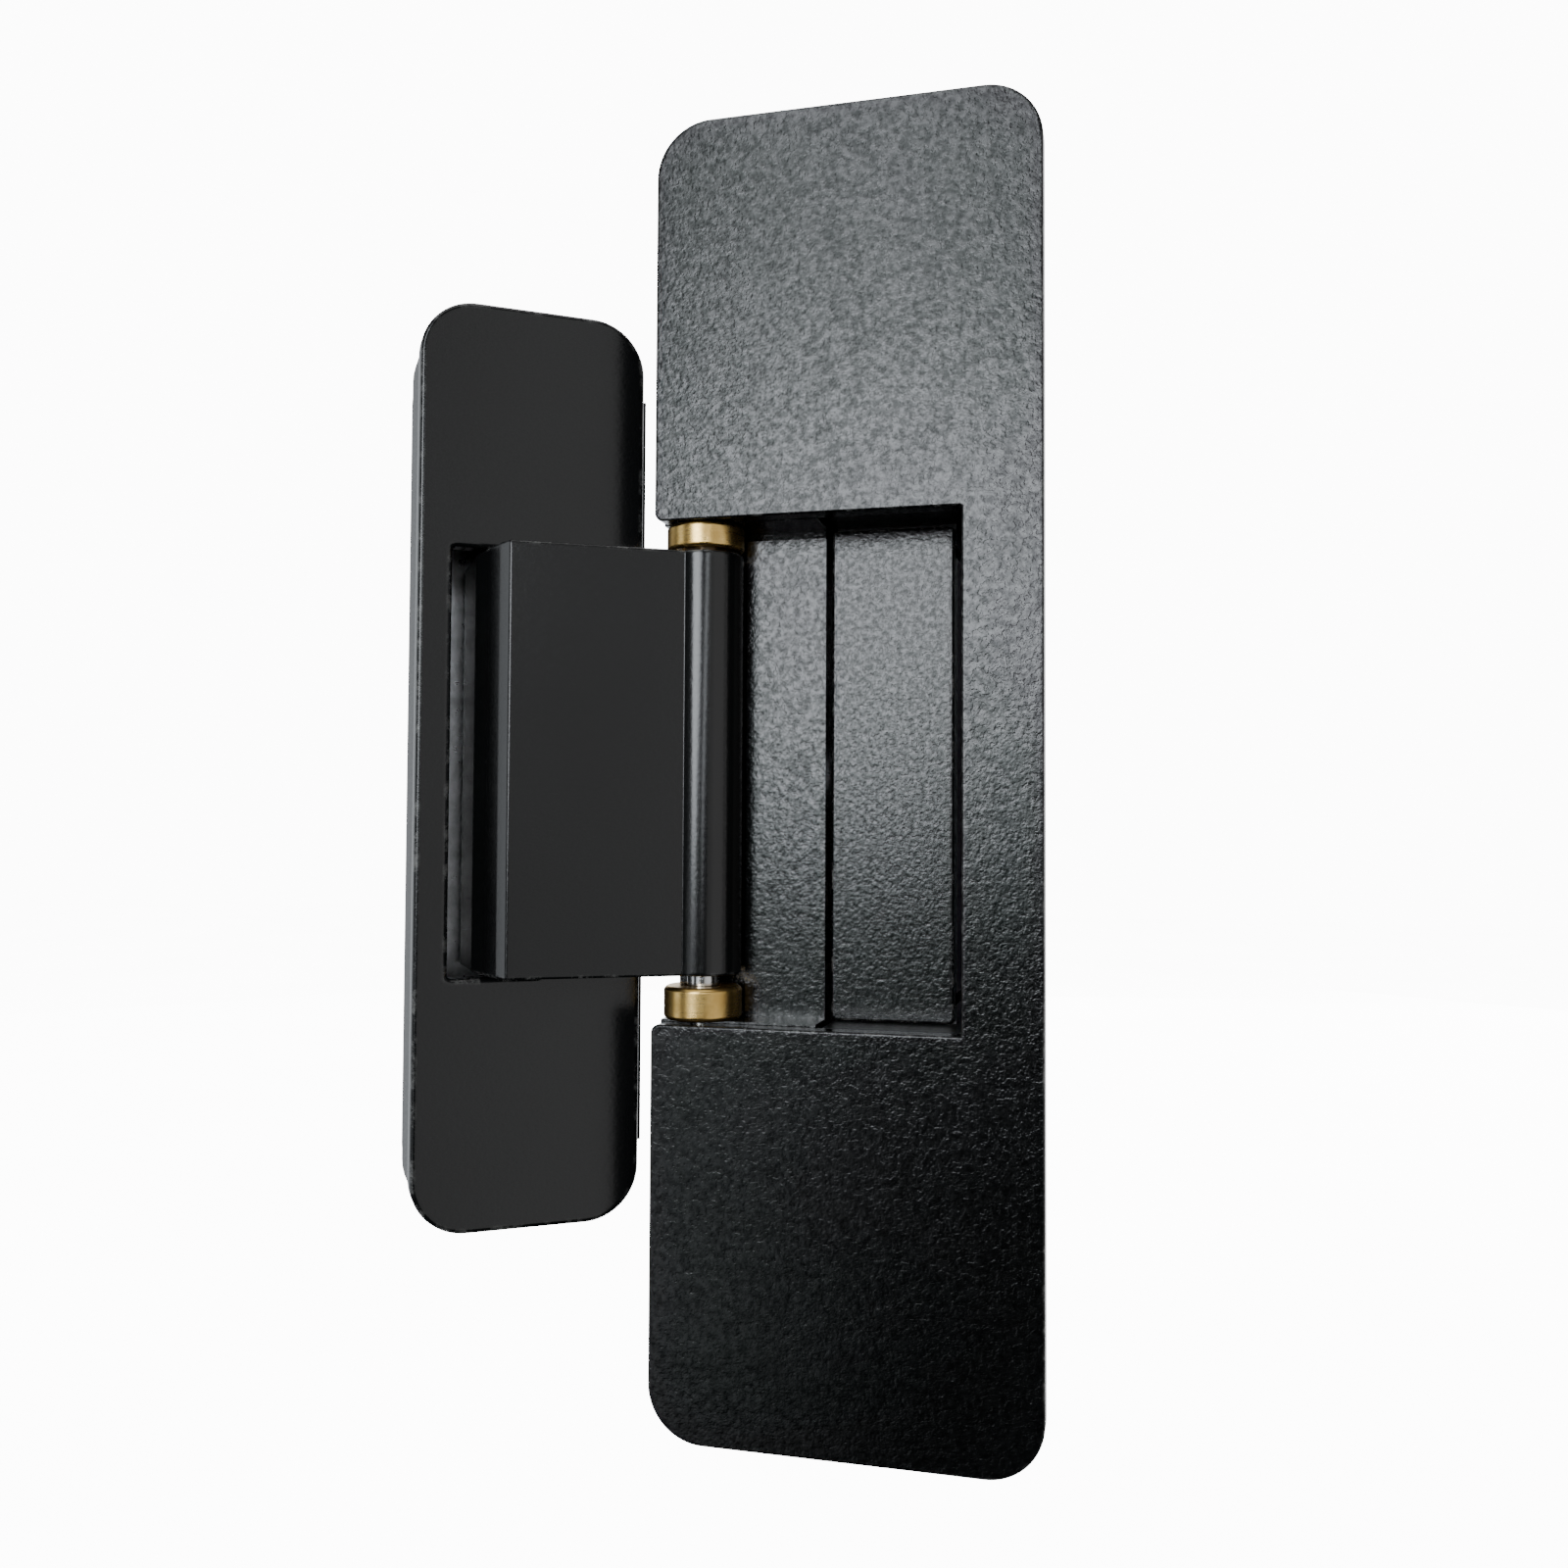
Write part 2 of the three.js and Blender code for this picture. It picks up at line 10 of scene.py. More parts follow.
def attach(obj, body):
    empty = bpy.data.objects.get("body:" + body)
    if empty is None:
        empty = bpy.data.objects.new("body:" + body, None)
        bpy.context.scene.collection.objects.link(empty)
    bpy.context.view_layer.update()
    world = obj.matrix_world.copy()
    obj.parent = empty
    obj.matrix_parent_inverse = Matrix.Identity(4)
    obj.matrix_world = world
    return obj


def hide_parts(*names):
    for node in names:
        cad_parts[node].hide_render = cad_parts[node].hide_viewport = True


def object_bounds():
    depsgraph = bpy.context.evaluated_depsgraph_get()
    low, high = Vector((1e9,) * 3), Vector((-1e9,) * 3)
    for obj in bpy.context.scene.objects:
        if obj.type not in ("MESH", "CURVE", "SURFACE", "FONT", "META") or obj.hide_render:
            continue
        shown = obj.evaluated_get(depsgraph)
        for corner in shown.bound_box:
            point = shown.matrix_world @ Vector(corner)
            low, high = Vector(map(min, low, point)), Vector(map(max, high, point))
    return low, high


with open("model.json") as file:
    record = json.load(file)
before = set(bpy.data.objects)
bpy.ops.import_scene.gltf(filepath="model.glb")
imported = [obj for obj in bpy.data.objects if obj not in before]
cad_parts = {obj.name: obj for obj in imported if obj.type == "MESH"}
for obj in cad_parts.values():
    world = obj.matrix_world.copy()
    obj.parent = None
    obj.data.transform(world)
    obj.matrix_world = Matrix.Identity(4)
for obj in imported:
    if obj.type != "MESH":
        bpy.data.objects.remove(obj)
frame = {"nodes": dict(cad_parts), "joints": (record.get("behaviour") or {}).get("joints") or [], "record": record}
cad_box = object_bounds()

# Shapes are in millimetres, and MM turns them into Blender's metres.
MM = 0.001
TAU = 2 * math.pi


# ---------------------------------------------------------------- places, from the frame
def named(rows, name):
    """The row of that name in one of the record's lists."""
    return next(row for row in rows if row["name"] == name)


def in_mm(metres):
    return [round(c / MM, 3) for c in metres]


def leaf_box(node, place):
    """Lowest and highest corner of a CAD node along the axes of place, in millimetres."""
    back = place.inverted()
    points = [back @ (v.co / MM) for v in frame["nodes"][node].data.vertices]
    low = [round(min(p[i] for p in points), 2) for i in range(3)]
    high = [round(max(p[i] for p in points), 2) for i in range(3)]
    return low, high


# The door leaf is square to the axes. The frame leaf turns about the pin, and the mount on its
# back tells how far it is turned and lifted at rest.
FRAME_BACK = named(frame["record"]["mounts"], "frame_body_back")
PIN = Vector(in_mm(named(frame["joints"], "arm_pivot")["pos_m"]))
REST = math.radians(round(math.degrees(math.atan2(-FRAME_BACK["axis"][0], FRAME_BACK["axis"][1])), 3))
LIFT = in_mm(FRAME_BACK["pos_m"])[2]
DOOR = Matrix.Identity(4)
AT_PIN = Matrix.Translation(PIN)
FRAME = Matrix.Translation(PIN + Vector((0, 0, LIFT))) @ Matrix.Rotation(REST, 4, "Z")

# Both cover plates reach almost to the bodies behind them, where the CAD's stop 0.3 mm short.
COVER_THICK = 2.68
COVER_CORNER = 6.8
# The notch in the door leaf's cover. Its top is 0.25 mm lower than the CAD's.
NOTCH_TOP, NOTCH_LOW, NOTCH_RIGHT = 30.75, -30.5, 14.05
# The pocket in the frame leaf's cover that the arm comes out of.
POCKET_LEFT, POCKET_RIGHT, POCKET_LOW, POCKET_HIGH = -29.95, -18.6, -26.4, 26.7
# The insert's plate only: the CAD's two posts behind it can't be seen.
INSERT_BACK = -13.5
# The washers reach this much further from the middle than the CAD's, which hides the pin there.
WASHER_EXTRA = 0.25


# ---------------------------------------------------------------- camera and light
CAMERA_AT = (0.032826, -0.182397, -0.007089)
CAMERA_YAW, CAMERA_PITCH, CAMERA_ROLL = 14.097, 1.962, 0.282
LENS = 31.63
PANEL_AWAY = 3.0
PANEL_AIM = Vector((0, -0.02, 0))
COOL_LIGHT = (0.95, 1.0, 1.05)
WORLD_DIM = 0.012
PAPER_GLOW = 12.0
FLOOR_DROP = 0.30
FLOOR_HALF = 6.0


def add_camera():
    data = bpy.data.cameras.new("Camera")
    data.sensor_width = 36
    data.lens = LENS
    data.clip_start = 0.005
    cam = bpy.data.objects.new("Camera", data)
    bpy.context.scene.collection.objects.link(cam)
    yaw, pitch, roll = (math.radians(a) for a in (CAMERA_YAW, CAMERA_PITCH, CAMERA_ROLL))
    turn = Matrix.Rotation(yaw, 4, "Z") @ Matrix.Rotation(math.pi / 2 + pitch, 4, "X")
    cam.matrix_world = Matrix.Translation(CAMERA_AT) @ turn @ Matrix.Rotation(roll, 4, "Z")
    bpy.context.scene.camera = cam


def panel(name, az0, az1, el0, el1, radiance, tint=(1, 1, 1), roll=0.0):
    """A lit panel seen from the hinge between two azimuths and two elevations, in degrees.

    Azimuth is measured from the door leaf's outward normal, positive towards +X."""
    a, e = math.radians((az0 + az1) / 2), math.radians((el0 + el1) / 2)
    way = Vector((math.sin(a) * math.cos(e), -math.cos(a) * math.cos(e), math.sin(e)))
    width = 2 * PANEL_AWAY * math.tan(math.radians(abs(az1 - az0) / 2)) * math.cos(e)
    height = 2 * PANEL_AWAY * math.tan(math.radians(abs(el1 - el0) / 2))
    data = bpy.data.lights.new(name, "AREA")
    data.shape = "RECTANGLE"
    data.size, data.size_y = width, height
    data.energy = radiance * math.pi * width * height
    data.color = tint
    lamp = bpy.data.objects.new(name, data)
    bpy.context.scene.collection.objects.link(lamp)
    face = way.to_track_quat("Z", "Y").to_matrix().to_4x4()
    turn = Matrix.Rotation(math.radians(roll), 4, "Z")
    lamp.matrix_world = Matrix.Translation(PANEL_AIM + way * PANEL_AWAY) @ face @ turn
    lamp.visible_camera = False


def add_lights():
    # The window that the door leaf's face mirrors, and a dim patch for the face's lower left.
    panel("window_wide", -21, -6, -1.3, 19, 11.6, COOL_LIGHT)
    panel("window_side", -6, 0, 3.7, 19, 11.6, COOL_LIGHT)
    panel("window_edge", 0, 4, 6, 19, 7.0, COOL_LIGHT)
    panel("window_top", -21, 0, 19, 42, 5.8, COOL_LIGHT)
    panel("window_low", -34, -14.5, -26, -3, 1.0, COOL_LIGHT)
    # The second, narrower band on the barrel.
    panel("strip", 16.5, 21, -4, 20, 7.0, COOL_LIGHT, roll=-45)
    # What the frame leaf's face mirrors.
    panel("right_wall", 27, 42, -32, 34, 0.66)
    panel("far_right_wall", 42, 78, -32, 34, 0.86)
    # The sides that only other views show.
    panel("left_wall", -100, -54, -25, 30, 1.1, COOL_LIGHT)
    panel("left_back", -160, -100, -30, 30, 0.7, COOL_LIGHT)
    panel("right_side", 82, 118, -30, 40, 1.1)
    panel("right_back", 120, 172, -25, 40, 2.2)
    panel("back", 174, 206, -25, 30, 1.6, COOL_LIGHT)
    panel("above", -60, 60, 58, 89, 1.4)
    panel("above_back", 120, 240, 45, 80, 1.4)


def add_world():
    """A white backdrop to the camera, and nearly no light to everything else."""
    world = bpy.data.worlds.new("Studio")
    bpy.context.scene.world = world
    world.use_nodes = True
    nt = world.node_tree
    nt.nodes.clear()
    out = nt.nodes.new("ShaderNodeOutputWorld")
    mix = nt.nodes.new("ShaderNodeMixShader")
    path = nt.nodes.new("ShaderNodeLightPath")
    dim = nt.nodes.new("ShaderNodeBackground")
    bright = nt.nodes.new("ShaderNodeBackground")
    dim.inputs["Color"].default_value = (0.9, 0.95, 1.0, 1)
    dim.inputs["Strength"].default_value = WORLD_DIM
    bright.inputs["Color"].default_value = (1, 1, 1, 1)
    bright.inputs["Strength"].default_value = PAPER_GLOW
    nt.links.new(path.outputs["Is Camera Ray"], mix.inputs[0])
    nt.links.new(dim.outputs[0], mix.inputs[1])
    nt.links.new(bright.outputs[0], mix.inputs[2])
    nt.links.new(mix.outputs[0], out.inputs[0])


# ---------------------------------------------------------------- materials
class Nodes:
    """Small helper for building a node tree."""

    def __init__(self, name):
        self.mat = bpy.data.materials.new(name)
        self.mat.use_nodes = True
        self.tree = self.mat.node_tree
        self.tree.nodes.clear()
        self.out = self.new("ShaderNodeOutputMaterial")
        self.bsdf = self.new("ShaderNodeBsdfPrincipled")
        self.link(self.bsdf.outputs[0], self.out.inputs[0])
        self.coords = self.new("ShaderNodeTexCoord").outputs["Object"]

    def new(self, kind, **props):
        node = self.tree.nodes.new(kind)
        for key, value in props.items():
            setattr(node, key, value)
        return node

    def link(self, a, b):
        self.tree.links.new(a, b)

    def feed(self, socket, value):
        """Links a socket, or sets a constant."""
        if hasattr(value, "is_output"):
            self.link(value, socket)
        else:
            socket.default_value = value

    def noise(self, scale, detail, rough, vector=None):
        node = self.new("ShaderNodeTexNoise")
        node.inputs["Scale"].default_value = scale
        node.inputs["Detail"].default_value = detail
        node.inputs["Roughness"].default_value = rough
        self.link(vector or self.coords, node.inputs["Vector"])
        return node.outputs["Fac"]

    def cells(self, scale, smooth):
        node = self.new("ShaderNodeTexVoronoi", feature="SMOOTH_F1")
        node.inputs["Scale"].default_value = scale
        node.inputs["Smoothness"].default_value = smooth
        self.link(self.coords, node.inputs["Vector"])
        return node.outputs["Distance"]

    def ramp(self, fac, low, high, low_colour, high_colour):
        node = self.new("ShaderNodeValToRGB")
        first, last = node.color_ramp.elements
        first.position, first.color = low, low_colour
        last.position, last.color = high, high_colour
        self.link(fac, node.inputs[0])
        return node.outputs["Color"]

    def remap(self, value, from_low, from_high, to_low, to_high):
        node = self.new("ShaderNodeMapRange")
        node.inputs["From Min"].default_value = from_low
        node.inputs["From Max"].default_value = from_high
        node.inputs["To Min"].default_value = to_low
        node.inputs["To Max"].default_value = to_high
        self.link(value, node.inputs["Value"])
        return node.outputs["Result"]

    def maths(self, kind, a, b):
        node = self.new("ShaderNodeMath", operation=kind)
        self.feed(node.inputs[0], a)
        self.feed(node.inputs[1], b)
        return node.outputs[0]

    def mix(self, fac, a, b):
        node = self.new("ShaderNodeMix", data_type="RGBA")
        self.feed(node.inputs["Factor"], fac)
        self.feed(node.inputs[6], a)
        self.feed(node.inputs[7], b)
        return node.outputs[2]

    def bump(self, height, strength, distance, normal=None):
        node = self.new("ShaderNodeBump")
        node.inputs["Strength"].default_value = strength
        node.inputs["Distance"].default_value = distance
        self.link(height, node.inputs["Height"])
        if normal:
            self.link(normal, node.inputs["Normal"])
        return node.outputs[0]

    def attribute(self, name):
        return self.new("ShaderNodeAttribute", attribute_name=name).outputs["Fac"]

    def surface(self, colour, rough, normal, metallic):
        self.feed(self.bsdf.inputs["Base Color"], colour)
        self.feed(self.bsdf.inputs["Roughness"], rough)
        self.feed(self.bsdf.inputs["Normal"], normal)
        self.feed(self.bsdf.inputs["Metallic"], metallic)


def grey(value, tint=(1, 1, 1)):
    return (value * tint[0], value * tint[1], value * tint[2], 1)


COOL_BLACK = (0.93, 1.0, 1.04)
RUBBED = (1, 0.99, 0.95)
EDGE_SCALE = 420


def powder_coat(name, dark, light, rough, grain, grain_scale, edge_light, fleck=0.0):
    """Black powder coat: sparkling grain with pits, faint tone changes and rubbed edges.

    grain is the bump's depth in metres, and fleck is how metallic the brightest specks are."""
    n = Nodes(name)
    tone = n.noise(38, 3, 0.6)
    colour = n.ramp(tone, 0.3, 0.7, grey(dark, COOL_BLACK), grey(light, COOL_BLACK))

    cells = n.cells(grain_scale, 0.35)
    fine = n.noise(grain_scale * 1.9, 3, 0.6)
    mid = n.noise(grain_scale * 0.55, 2, 0.5)
    height = n.maths("ADD", n.maths("MULTIPLY", cells, 0.6), n.maths("MULTIPLY", fine, 0.8))
    height = n.maths("ADD", height, n.maths("MULTIPLY", mid, 0.9))
    normal = n.bump(height, 1.0, grain)
    pits = n.remap(n.noise(grain_scale * 0.8, 2, 0.6), 0.4, 0.5, 0.0, 1.0)
    normal = n.bump(pits, 1.0, grain * 0.6, normal)
    metallic = n.remap(n.noise(grain_scale * 0.7, 2, 0.6), 0.34, 0.64, fleck, 0.0)

    broken = n.remap(n.noise(EDGE_SCALE, 4, 0.75), 0.5, 0.66, 0.0, 1.0)
    worn = n.maths("MULTIPLY", n.maths("POWER", n.attribute("edge"), 1.6), broken)
    colour = n.mix(n.maths("MULTIPLY", worn, 0.8), colour, grey(edge_light, RUBBED))
    n.surface(colour, n.remap(fine, 0.3, 0.7, rough * 0.85, rough * 1.15), normal, metallic)
    n.bsdf.inputs["IOR"].default_value = 1.5
    return n.mat


def turned_metal(name, base, deep, rough_low, rough_high):
    """Lathe-turned metal: fine rings across the pin's axis, with stains and soft scratches."""
    n = Nodes(name)
    stretch = n.new("ShaderNodeMapping")
    stretch.inputs["Scale"].default_value = (0.02, 0.02, 1)
    n.link(n.coords, stretch.inputs["Vector"])
    rings = n.noise(5200, 3, 0.7, stretch.outputs[0])
    stain = n.noise(420, 4, 0.6)
    colour = n.mix(n.remap(stain, 0.35, 0.7, 0.0, 1.0), base, deep)
    rough = n.remap(n.maths("ADD", rings, stain), 0.7, 1.3, rough_low, rough_high)
    normal = n.bump(rings, 1.0, 0.000004)
    normal = n.bump(n.noise(2600, 4, 0.7), 0.35, 0.000004, normal)
    n.surface(colour, rough, normal, 1.0)
    return n.mat


def plated_steel(name, base, deep, rough_low, rough_high):
    """Zinc-plated or spring steel: cloudy plating with small pits."""
    n = Nodes(name)
    cloud = n.noise(260, 5, 0.65)
    pits = n.cells(1500, 0.4)
    colour = n.mix(n.remap(cloud, 0.35, 0.65, 0.0, 1.0), base, deep)
    rough = n.remap(n.noise(700, 4, 0.6), 0.3, 0.7, rough_low, rough_high)
    n.surface(colour, rough, n.bump(pits, 0.5, 0.00001), 1.0)
    return n.mat


def floor_paper():
    n = Nodes("floor_paper")
    tone = n.ramp(n.noise(3, 2, 0.5), 0.3, 0.7, grey(0.97), grey(1.0))
    n.link(tone, n.bsdf.inputs["Base Color"])
    n.link(tone, n.bsdf.inputs["Emission Color"])
    n.bsdf.inputs["Emission Strength"].default_value = PAPER_GLOW
    n.bsdf.inputs["Roughness"].default_value = 0.9
    return n.mat


MATS = {
    "door_coat": powder_coat(
        "door_coat", dark=0.002, light=0.004, rough=0.18,
        grain=0.000017, grain_scale=2000, edge_light=0.14, fleck=0.55,
    ),
    "frame_coat": powder_coat(
        "frame_coat", dark=0.004, light=0.006, rough=0.19,
        grain=0.000004, grain_scale=1800, edge_light=0.16,
    ),
    "body_coat": powder_coat(
        "body_coat", dark=0.003, light=0.006, rough=0.34,
        grain=0.00002, grain_scale=1200, edge_light=0.08,
    ),
    "washer_brass": turned_metal(
        "washer_brass", base=(0.80, 0.55, 0.19, 1), deep=(0.58, 0.37, 0.11, 1),
        rough_low=0.24, rough_high=0.34,
    ),
    "pin_steel": turned_metal(
        "pin_steel", base=(0.66, 0.66, 0.65, 1), deep=(0.5, 0.5, 0.5, 1),
        rough_low=0.14, rough_high=0.24,
    ),
    "screw_steel": plated_steel(
        "screw_steel", base=(0.5, 0.51, 0.53, 1), deep=(0.34, 0.35, 0.36, 1),
        rough_low=0.25, rough_high=0.42,
    ),
    "spring_steel": plated_steel(
        "spring_steel", base=(0.4, 0.41, 0.43, 1), deep=(0.25, 0.26, 0.28, 1),
        rough_low=0.2, rough_high=0.34,
    ),
}


# ---------------------------------------------------------------- outlines
def area_of(loop):
    return 0.5 * sum(a[0] * b[1] - b[0] * a[1] for a, b in zip(loop, loop[1:] + loop[:1]))


def oriented(loop, ccw=True):
    return loop if (area_of(loop) > 0) == ccw else loop[::-1]


def rectangle(left, right, low, high, radius):
    return [(left, low, radius), (right, low, radius), (right, high, radius), (left, high, radius)]


def filleted(points, arc_step=9.0):
    """Polygon corners (x, y, radius) turned into a dense outline, with arc_step in degrees."""
    out = []
    count = len(points)
    for i, (x, y, r) in enumerate(points):
        p = Vector((x, y))
        a = Vector(points[i - 1][:2]) - p
        b = Vector(points[(i + 1) % count][:2]) - p
        ua, ub = a.normalized(), b.normalized()
        turn = math.pi - ua.angle(ub)
        if r <= 0 or turn < 1e-3:
            out.append((x, y))
            continue
        reach = min(r * math.tan(turn / 2), 0.499 * a.length, 0.499 * b.length)
        r = reach / math.tan(turn / 2)
        centre = p + (ua + ub).normalized() * math.hypot(r, reach)
        start, end = p + ua * reach, p + ub * reach
        a0 = math.atan2(start.y - centre.y, start.x - centre.x)
        a1 = math.atan2(end.y - centre.y, end.x - centre.x)
        sweep = (a1 - a0 + math.pi) % TAU - math.pi
        steps = max(2, math.ceil(abs(math.degrees(sweep)) / arc_step))
        for k in range(steps + 1):
            t = a0 + sweep * k / steps
            out.append((centre.x + r * math.cos(t), centre.y + r * math.sin(t)))
    return out


def arc(radius, start, end, steps):
    """Points on a circle about the pin, from one angle to the other, both ends included."""
    angles = [start + (end - start) * k / steps for k in range(steps + 1)]
    return [(radius * math.cos(t), radius * math.sin(t)) for t in angles]


def split_long(loop, longest):
    """Extra points on edges longer than that, so that no face of the side is very wide."""
    out = []
    for (ax, ay), (bx, by) in zip(loop, loop[1:] + loop[:1]):
        steps = max(1, math.ceil(math.dist((ax, ay), (bx, by)) / longest))
        out += [(ax + (bx - ax) * k / steps, ay + (by - ay) * k / steps) for k in range(steps)]
    return out


def inset(loop, amount):
    """Each point moved to its left by amount, mitred at corners."""
    out = []
    for i, p in enumerate(loop):
        a = Vector(p) - Vector(loop[i - 1])
        b = Vector(loop[(i + 1) % len(loop)]) - Vector(p)
        a, b = a.normalized(), b.normalized()
        na, nb = Vector((-a.y, a.x)), Vector((-b.y, b.x))
        m = (na + nb).normalized()
        stretch = 1 / max(0.35, m.dot(na))
        out.append((p[0] + m.x * amount * stretch, p[1] + m.y * amount * stretch))
    return out


# ---------------------------------------------------------------- solids
# Each returns vertices, faces and a wear value per vertex, which is 1 on an exposed edge.
def rounded_end(at, into, radius, seg, support):
    """Rows (w, inset, wear) from a prism's flat end, round its edge, to its straight side."""
    rows = [(at, radius + support, 0.0)]
    for k in range(seg + 1):
        t = math.pi / 2 * k / seg
        wear = 0.4 + 0.6 * math.sin(2 * t)
        rows.append((at + into * radius * (1 - math.cos(t)), radius * (1 - math.sin(t)), wear))
    rows.append((at + into * (radius + support), 0.0, 0.0))
    return rows


def prism(outer, holes, low, high, r_low, r_high, seg=4, support=0.25):
    """An outline with holes, drawn out from low to high, with rounded edges at both ends."""
    loops = [oriented(outer)] + [oriented(h, False) for h in holes]
    verts, wear, faces = [], [], []
    ends = rounded_end(low, 1, r_low, seg, support), rounded_end(high, -1, r_high, seg, support)
    rows = ends[0] + ends[1][::-1]
    bottoms, tops = [], []
    for loop in loops:
        first = len(verts)
        n = len(loop)
        for w, amount, worn in rows:
            verts += [(u, v, w) for u, v in inset(loop, amount)]
            wear += [worn] * n
        for r in range(len(rows) - 1):
            for i in range(n):
                j = (i + 1) % n
                a, b = first + r * n, first + (r + 1) * n
                faces.append((a + i, a + j, b + j, b + i))
        bottoms.append([first + i for i in range(n)])
        tops.append([first + (len(rows) - 1) * n + i for i in range(n)])
    for rings, up in ((bottoms, False), (tops, True)):
        flat = [i for ring in rings for i in ring]
        shape = [[Vector((verts[i][0], verts[i][1], 0)) for i in ring] for ring in rings]
        for tri in tessellate_polygon(shape):
            a, b, c = (flat[i] for i in tri)
            pa, pb, pc = (Vector(verts[i][:2]) for i in (a, b, c))
            ccw = (pb - pa).cross(pc - pa) > 0
            faces.append((a, b, c) if ccw == up else (c, b, a))
    return verts, faces, wear


def both_ends(half, low, high):
    """A turned profile from its half at one end: rows of (radius, depth from the end, wear)."""
    return [(r, low + d, e) for r, d, e in half] + [(r, high - d, e) for r, d, e in half[::-1]]


def lathe(profile, steps):
    """Closed turned body from (radius, w, wear) rows, about the w axis."""
    verts, faces, wear = [], [], []
    n = len(profile)
    for k in range(steps):
        t = TAU * k / steps
        verts += [(r * math.cos(t), r * math.sin(t), w) for r, w, _ in profile]
        wear += [e for _, _, e in profile]
    for k in range(steps):
        a, b = k * n, ((k + 1) % steps) * n
        for i in range(n):
            j = (i + 1) % n
            on_axis = profile[i][0] < 1e-6 and profile[j][0] < 1e-6
            if not on_axis:
                faces.append((a + i, b + i, b + j, a + j))
    return verts, faces, wear


def upright(solid):
    """A prism drawn out along z turned to run along y, with its outline in x and z."""
    verts, faces, wear = solid
    return [(u, w, v) for u, v, w in verts], faces, wear


def make_object(name, solid, place, material):
    """A mesh object from a solid in millimetres, set in place in the row frame."""
    verts, faces, wear = solid
    mesh = bpy.data.meshes.new(name)
    mesh.from_pydata([tuple((place @ Vector(v)) * MM) for v in verts], [], faces)
    mesh.attributes.new("edge", "FLOAT", "POINT").data.foreach_set("value", wear)
    bm = bmesh.new()
    bm.from_mesh(mesh)
    bmesh.ops.remove_doubles(bm, verts=bm.verts, dist=1e-8)
    bmesh.ops.recalc_face_normals(bm, faces=bm.faces)
    bm.to_mesh(mesh)
    bm.free()
    mesh.polygons.foreach_set("use_smooth", [True] * len(mesh.polygons))
    mesh.materials.append(material)
    obj = bpy.data.objects.new(name, mesh)
    bpy.context.scene.collection.objects.link(obj)
    mod = obj.modifiers.new("weighted", "WEIGHTED_NORMAL")
    mod.keep_sharp = True
    mod.weight = 80
    return obj


# ---------------------------------------------------------------- door leaf
def door_cover():
    (left, face, low), (right, _, high) = leaf_box("door_cover_plate", DOOR)
    corners = rectangle(left, right, low, high, COVER_CORNER) + [
        (left, NOTCH_TOP, 1.0), (NOTCH_RIGHT, NOTCH_TOP, 0.25),
        (NOTCH_RIGHT, NOTCH_LOW, 0.25), (left, NOTCH_LOW, 1.0),
    ]
    solid = prism(filleted(corners, 5.0), [], face, face + COVER_THICK, 0.25, 0.1, seg=5)
    obj = make_object("door_cover", upright(solid), DOOR, MATS["door_coat"])
    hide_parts("door_cover_plate")
    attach(obj, "door_leaf")


def recess_insert():
    (left, front, low), (right, _, high) = leaf_box("recess_insert", DOOR)
    outline = filleted(rectangle(left, right, low, high, 0.5))
    solid = prism(outline, [], front, INSERT_BACK, 0.3, 0.15)
    obj = make_object("insert_strip", upright(solid), DOOR, MATS["door_coat"])
    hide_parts("recess_insert")
    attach(obj, "door_leaf")


def washer(name, node, chamfer):
    (_, _, low), (radius, _, high) = leaf_box(node, AT_PIN)
    if high > 0:
        high += WASHER_EXTRA
    else:
        low -= WASHER_EXTRA
    bore = 2.25
    half = [
        (bore, 0.15, 0.5),
        (bore + 0.15, 0, 0.5),
        (bore + 0.6, 0, 0),
        (radius - chamfer - 0.2, 0, 0),
        (radius - chamfer, 0, 0.6),
        (radius - chamfer * 0.62, chamfer * 0.2, 1),
        (radius - chamfer * 0.2, chamfer * 0.62, 1),
        (radius, chamfer, 0.6),
        (radius, chamfer + 0.15, 0),
    ]
    obj = make_object(name, lathe(both_ends(half, low, high), 96), AT_PIN, MATS["washer_brass"])
    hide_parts(node)
    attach(obj, "carriage")


def knuckle_pin():
    (_, _, low), (radius, _, high) = leaf_box("knuckle_pin", AT_PIN)
    half = [(0, 0, 0), (radius - 0.5, 0, 0), (radius - 0.06, 0.44, 0.5), (radius, 0.6, 0)]
    obj = make_object("pivot_pin", lathe(both_ends(half, low, high), 64), AT_PIN, MATS["pin_steel"])
    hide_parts("knuckle_pin")
    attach(obj, "carriage")


# ---------------------------------------------------------------- frame leaf
def frame_cover():
    (far, face, low), (near, _, high) = leaf_box("frame_cover_plate", FRAME)
    outline = filleted(rectangle(far, near, low, high, COVER_CORNER), 5.0)
    pocket = filleted(rectangle(POCKET_LEFT, POCKET_RIGHT, POCKET_LOW, POCKET_HIGH, 0.5))
    solid = prism(outline, [pocket], face, face + COVER_THICK, 0.6, 0.1, seg=5)
    obj = make_object("frame_cover", upright(solid), FRAME, MATS["frame_coat"])
    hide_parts("frame_cover_plate")
    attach(obj, "frame_leaf")


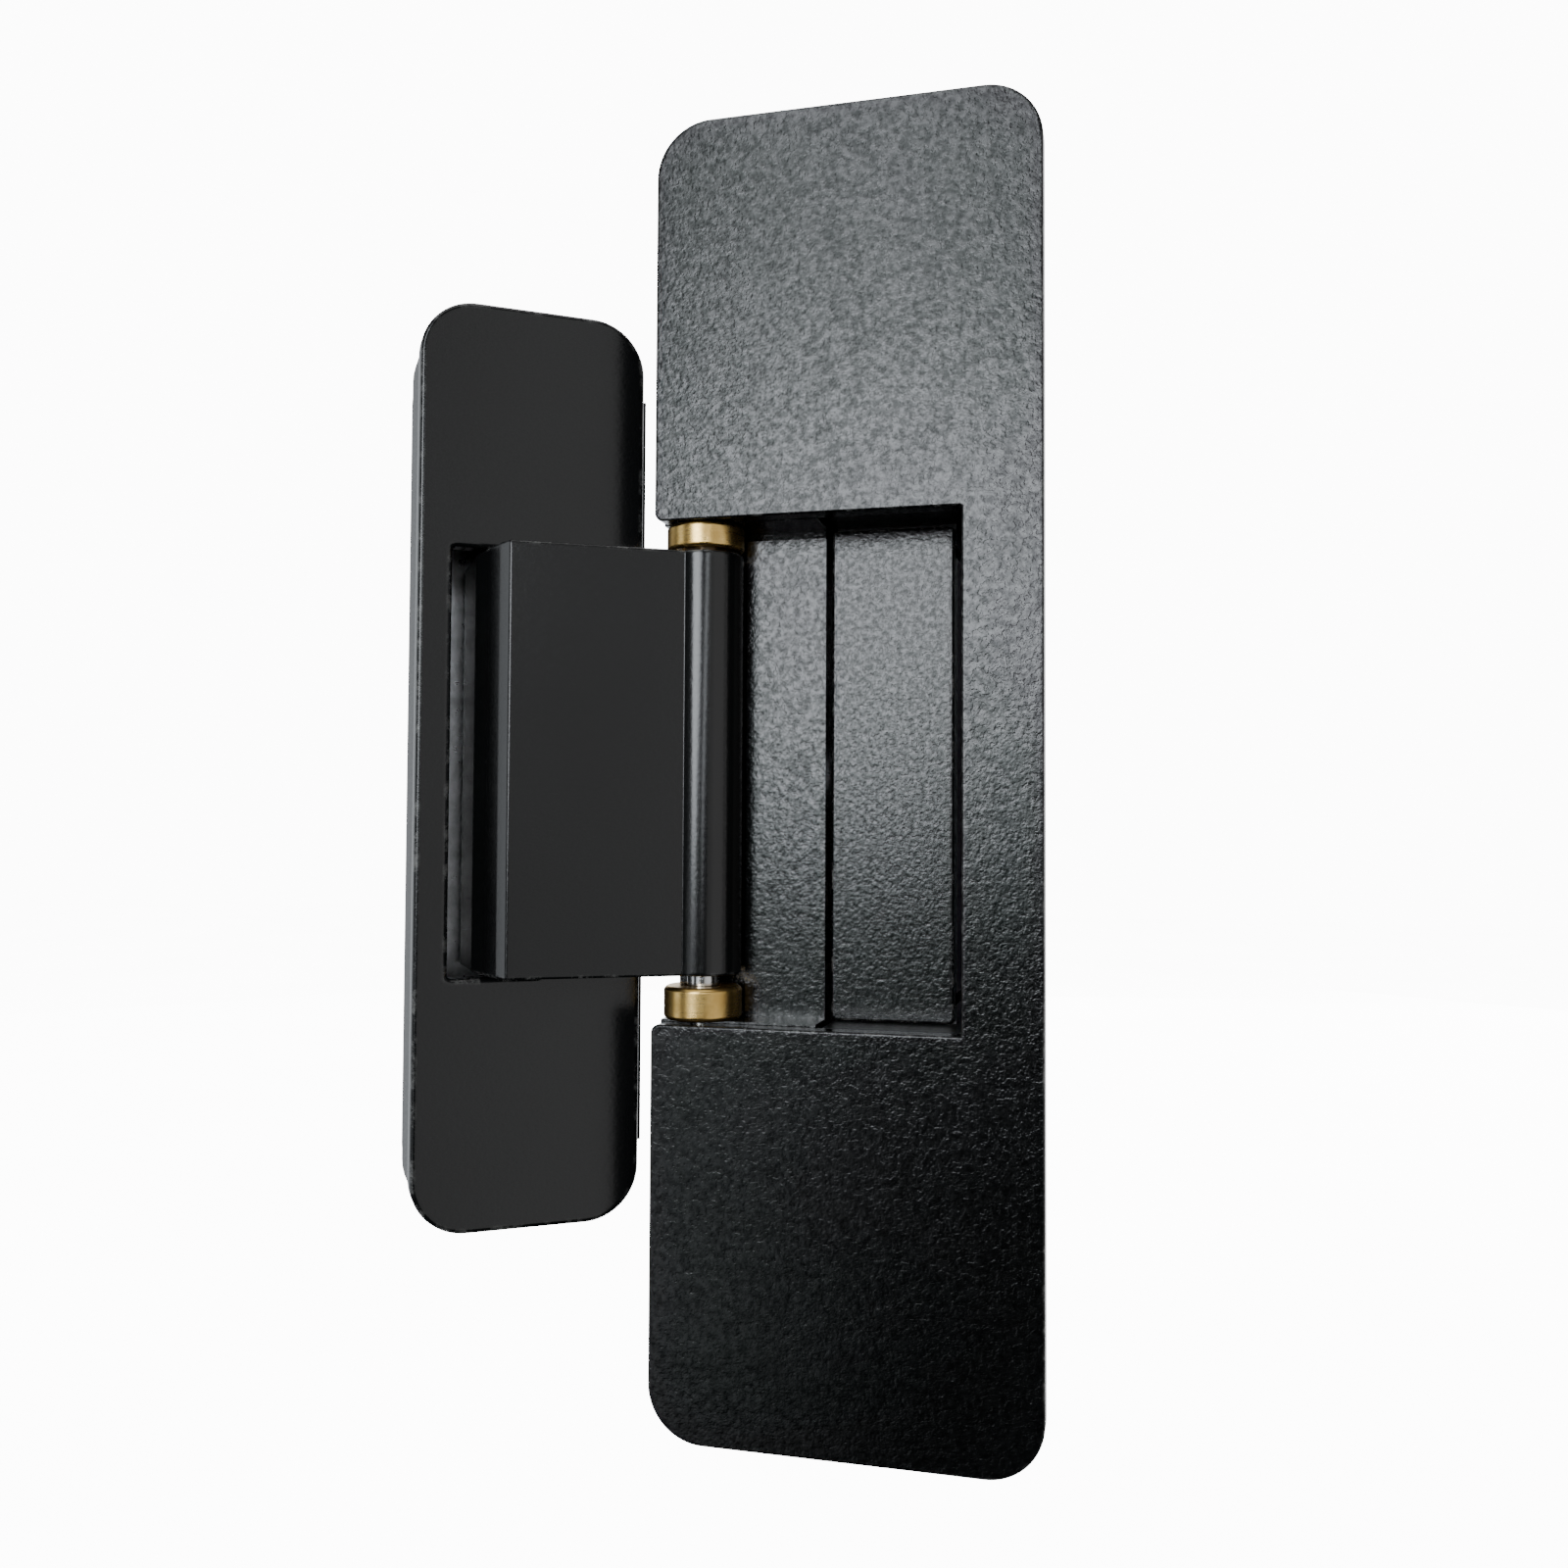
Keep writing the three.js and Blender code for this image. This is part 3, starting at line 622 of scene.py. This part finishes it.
def arm_outline(barrel, far, back):
    """The barrel's arc, then the neck and foot, and back along the flat face to the barrel."""
    inner, foot_front, foot_tip = -22.2, 16.0, -11.5
    knuckle = [(*p, 0) for p in arc(barrel, math.radians(219.7), math.radians(159.0 + 360), 48)]
    knuckle[0] = (*knuckle[0][:2], 0.25)
    knuckle[-1] = (*knuckle[-1][:2], 0.9)
    neck = [
        (-18.4, 3.13, 4), (-21.1, 4.6, 3), (inner, 8.6, 5), (inner, foot_front, 1.0),
        (foot_tip, foot_front, 0.5), (foot_tip, back, 0.5), (far, back, 0.8), (far, 9.5, 8),
        (-26.0, 3.9, 6), (-25.3, 0.9, 3), (-24.5, -1.2, 0.45),
    ]
    return filleted(knuckle + neck, 6.0)


def gooseneck():
    (far, _, low), (barrel, back, high) = leaf_box("gooseneck_arm", FRAME)
    outline = split_long(arm_outline(barrel, far, back), 6)
    bore = arc(3.25, 0, TAU, 48)[:-1]
    solid = prism(outline, [bore], low, high, 0.35, 0.35, support=0.2)
    obj = make_object("gooseneck", solid, FRAME, MATS["frame_coat"])
    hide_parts("gooseneck_arm")
    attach(obj, "arm")


# ---------------------------------------------------------------- kept CAD nodes
KEPT = {
    "body_coat": ["door_body", "frame_body"],
    "door_coat": ["pin_carriage"],
    "washer_brass": ["upper_barrel_bush", "lower_barrel_bush"],
    "spring_steel": [
        "door_cover_clip_upper", "door_cover_clip_lower", "frame_cover_clip_upper",
        "frame_cover_clip_lower", "depth_screw_circlip",
    ],
    "screw_steel": [
        "upper_pin_set_screw", "lower_pin_set_screw", "side_adjust_cam", "upper_carriage_screw",
        "lower_carriage_screw", "arm_tray", "upper_tray_keeper", "lower_tray_keeper",
        "upper_far_keeper_screw", "upper_near_keeper_screw", "lower_far_keeper_screw",
        "lower_near_keeper_screw", "upper_clamp_screw", "lower_clamp_screw",
        "depth_adjust_screw", "height_adjust_cam",
    ],
}
CASTING_BEVEL, SMALL_BEVEL = 0.15, 0.12
SHARP_ANGLE = 35


def dress_cad_nodes():
    """The CAD nodes that stay get their material, and edges that catch the light."""
    for slot, names in KEPT.items():
        width = CASTING_BEVEL if slot in ("body_coat", "door_coat") else SMALL_BEVEL
        for name in names:
            obj = frame["nodes"][name]
            for s in obj.material_slots:
                s.material = MATS[slot]
            bevel = obj.modifiers.new("bevel", "BEVEL")
            bevel.width = width * MM
            bevel.segments = 3
            bevel.limit_method = "ANGLE"
            bevel.angle_limit = math.radians(SHARP_ANGLE)
            bevel.harden_normals = False
            soft = obj.modifiers.new("weighted", "WEIGHTED_NORMAL")
            soft.keep_sharp = False


def add_floor():
    """Pale paper well below the hinge, seen by the camera but not mirrored in the coat."""
    mesh = bpy.data.meshes.new("floor")
    s = FLOOR_HALF
    z = cad_box[0][2] - FLOOR_DROP
    mesh.from_pydata([(-s, -s, z), (s, -s, z), (s, s, z), (-s, s, z)], [], [(0, 1, 2, 3)])
    mesh.materials.append(floor_paper())
    floor = bpy.data.objects.new("floor", mesh)
    bpy.context.scene.collection.objects.link(floor)
    floor.visible_glossy = False
    floor.visible_diffuse = False


add_camera()
add_world()
add_lights()
add_floor()
door_cover()
recess_insert()
washer("washer_top", "upper_thrust_washer", chamfer=0.4)
washer("washer_bottom", "lower_thrust_washer", chamfer=0.45)
knuckle_pin()
frame_cover()
gooseneck()
dress_cad_nodes()

bpy.context.view_layer.update()
